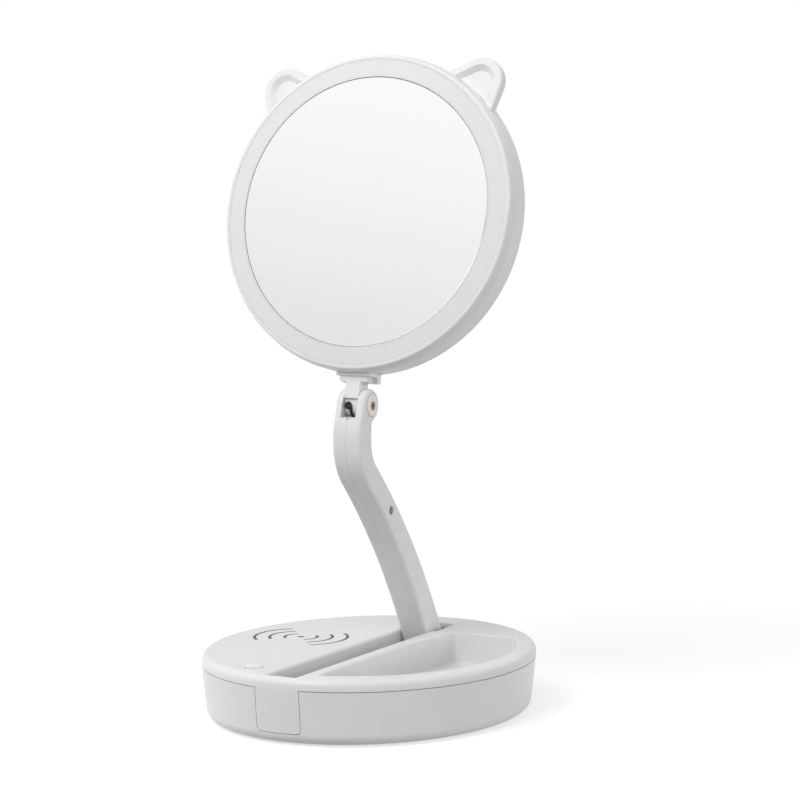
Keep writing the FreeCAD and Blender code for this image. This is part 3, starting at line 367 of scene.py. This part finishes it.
def dress_solids():
    """Give every solid its finish, by the record's material slots."""
    finishes = {
        "base_white": moulded_white("base_white", 0.82, 0.79, 0.30, 0.38, 0.00004),
        "arm_white": arm_white(),
        "head_white": moulded_white("head_white", 0.815, 0.785, 0.34, 0.42, 0.00004),
        # Painted light: the neck and saddle white is lighter than the other white mouldings, to lift them
        # out of the shade under the head
        "neck_white": moulded_white("neck_white", 0.86, 0.82, 0.36, 0.44, 0.00004),
        "hinge_grey": tinted("hinge_grey", grey(0.30), grey(0.24), 0.42, 0.52),
        "mirror": silvered_glass(),
        "diffuser": frosted_ring(),
        "reflector_white": moulded_white("reflector_white", 0.86, 0.83, 0.18, 0.26, 0.00002),
        "foot_rubber": dark_rubber("foot_rubber", 0.035, 0.00012),
        "wire_black": dark_rubber("wire_black", 0.008, 0.00003),
        "button_white": button_cap(),
        "inlay_grey": printed_mark(),
        "brass": turned_brass(),
        "steel": plated_steel(),
        "circuit_board": board_mask(),
        "lamp_chip": lamp_phosphor(),
        "coil_copper": enamelled_copper(),
        "ferrite": tinted("ferrite", grey(0.03), grey(0.018), 0.55, 0.75, 0.00008, 900.0),
        "cell_wrap": tinted("cell_wrap", (0.06, 0.12, 0.28), (0.045, 0.095, 0.23), 0.22, 0.32),
        "switch_black": tinted("switch_black", grey(0.015), grey(0.010), 0.25, 0.36),
    }
    for part in frame["record"]["subparts"]:
        solid = frame["nodes"][part["node"]]
        solid.data.materials.clear()
        solid.data.materials.append(finishes[part["material_slot"]])


def seen_directly(tree):
    """1 for rays from the camera, in a reflection or through glass, 0 for light off matt faces."""
    rays = add(tree, "ShaderNodeLightPath").outputs
    either = sums(tree, "MAXIMUM", rays["Is Camera Ray"], rays["Is Glossy Ray"])
    return sums(tree, "MAXIMUM", either, rays["Is Transmission Ray"])


def lay_floor():
    """Pale table top that shows white and keeps a faint shadow of the object."""
    mesh = bpy.data.meshes.new("table_top")
    corners = [(-1, -1), (1, -1), (1, 1), (-1, 1)]
    corners = [(x * floor_reach, y * floor_reach, 0.0) for x, y in corners]
    mesh.from_pydata(corners, [], [(0, 1, 2, 3)])
    table = bpy.data.objects.new("table_top", mesh)
    bpy.context.scene.collection.objects.link(table)
    finish = bpy.data.materials.new("table_top")
    finish.use_nodes = True
    tree = finish.node_tree
    tree.nodes.clear()
    matt = add(tree, "ShaderNodeBsdfDiffuse", {"Color": floor_tone})
    parts = add(tree, "ShaderNodeSeparateXYZ", {0: solid_place(tree)}).outputs
    across = sums(tree, "MULTIPLY", parts["X"], parts["X"])
    away = sums(tree, "ADD", across, sums(tree, "MULTIPLY", parts["Y"], parts["Y"]))
    white = ramp(tree, away, floor_near_squared, floor_far_squared, floor_white_near, floor_white_far)
    white = sums(tree, "MULTIPLY", seen_directly(tree), white)
    glow = add(tree, "ShaderNodeEmission", {"Strength": white})
    both = add(tree, "ShaderNodeAddShader", {0: matt.outputs[0], 1: glow.outputs[0]})
    add(tree, "ShaderNodeOutputMaterial", {"Surface": both.outputs[0]})
    mesh.materials.append(finish)


def surround():
    """Pale room that shows white: bright side and back walls, a dim ceiling, a soft gradient in gloss."""
    world = bpy.data.worlds.new("pale_room")
    bpy.context.scene.world = world
    world.use_nodes = True
    tree = world.node_tree
    tree.nodes.clear()
    direction = add(tree, "ShaderNodeTexCoord").outputs["Generated"]
    parts = add(tree, "ShaderNodeSeparateXYZ", {0: direction}).outputs
    rays = add(tree, "ShaderNodeLightPath").outputs
    sides = sums(tree, "POWER", parts["X"], wall_focus)
    sides = sums(tree, "MULTIPLY", sides, side_wall_light)
    behind = sums(tree, "POWER", sums(tree, "MAXIMUM", parts["Y"], 0.0), wall_focus)
    walls = sums(tree, "ADD", sides, sums(tree, "MULTIPLY", behind, back_wall_light))
    ambient = ramp(tree, parts["Z"], ceiling_from, ceiling_full, walls, ceiling_light)
    mirrored = ramp(tree, parts["Z"], mirrored_from, mirrored_full, mirrored_low, mirrored_high)
    level = add(tree, "ShaderNodeMix", {0: rays["Is Glossy Ray"], 2: ambient, 3: mirrored}).outputs[0]
    shown = sums(tree, "MAXIMUM", rays["Is Camera Ray"], rays["Is Transmission Ray"])
    level = add(tree, "ShaderNodeMix", {0: shown, 2: level, 3: 1.0}).outputs[0]
    sky = add(tree, "ShaderNodeBackground", {"Color": (1.0, 1.0, 1.0, 1.0), "Strength": level})
    add(tree, "ShaderNodeOutputWorld", {"Surface": sky.outputs[0]})


def hang_lamp(name, place, aim, size, power, mirrored):
    """Square soft lamp that points at a place on the object, and shows in glossy faces or not."""
    lamp = bpy.data.lights.new(name, "AREA")
    lamp.energy = power
    lamp.size = size
    held = bpy.data.objects.new(name, lamp)
    bpy.context.scene.collection.objects.link(held)
    held.location = place
    held.visible_glossy = mirrored
    held.rotation_euler = (Vector(aim) - Vector(place)).to_track_quat("-Z", "Y").to_euler()


def set_camera():
    """Camera at the photograph's place and angle."""
    camera = bpy.data.cameras.new("camera")
    camera.lens = camera_lens
    camera.sensor_width = camera_sensor
    camera.clip_end = camera_far
    held = bpy.data.objects.new("camera", camera)
    bpy.context.scene.collection.objects.link(held)
    turn = Vector((math.sin(camera_turn), -math.cos(camera_turn), 0.0)) * camera_reach
    held.location = turn + Vector((0.0, 0.0, camera_height))
    level = Vector((-math.sin(camera_heading), math.cos(camera_heading), 0.0)) * math.cos(camera_dip)
    view = level - Vector((0.0, 0.0, math.sin(camera_dip)))
    held.rotation_euler = view.to_track_quat("-Z", "Y").to_euler()
    bpy.context.scene.camera = held


dress_solids()
lay_floor()
surround()
for lamp in lamps:
    hang_lamp(*lamp)
set_camera()
bpy.context.scene.view_settings.view_transform = "Standard"
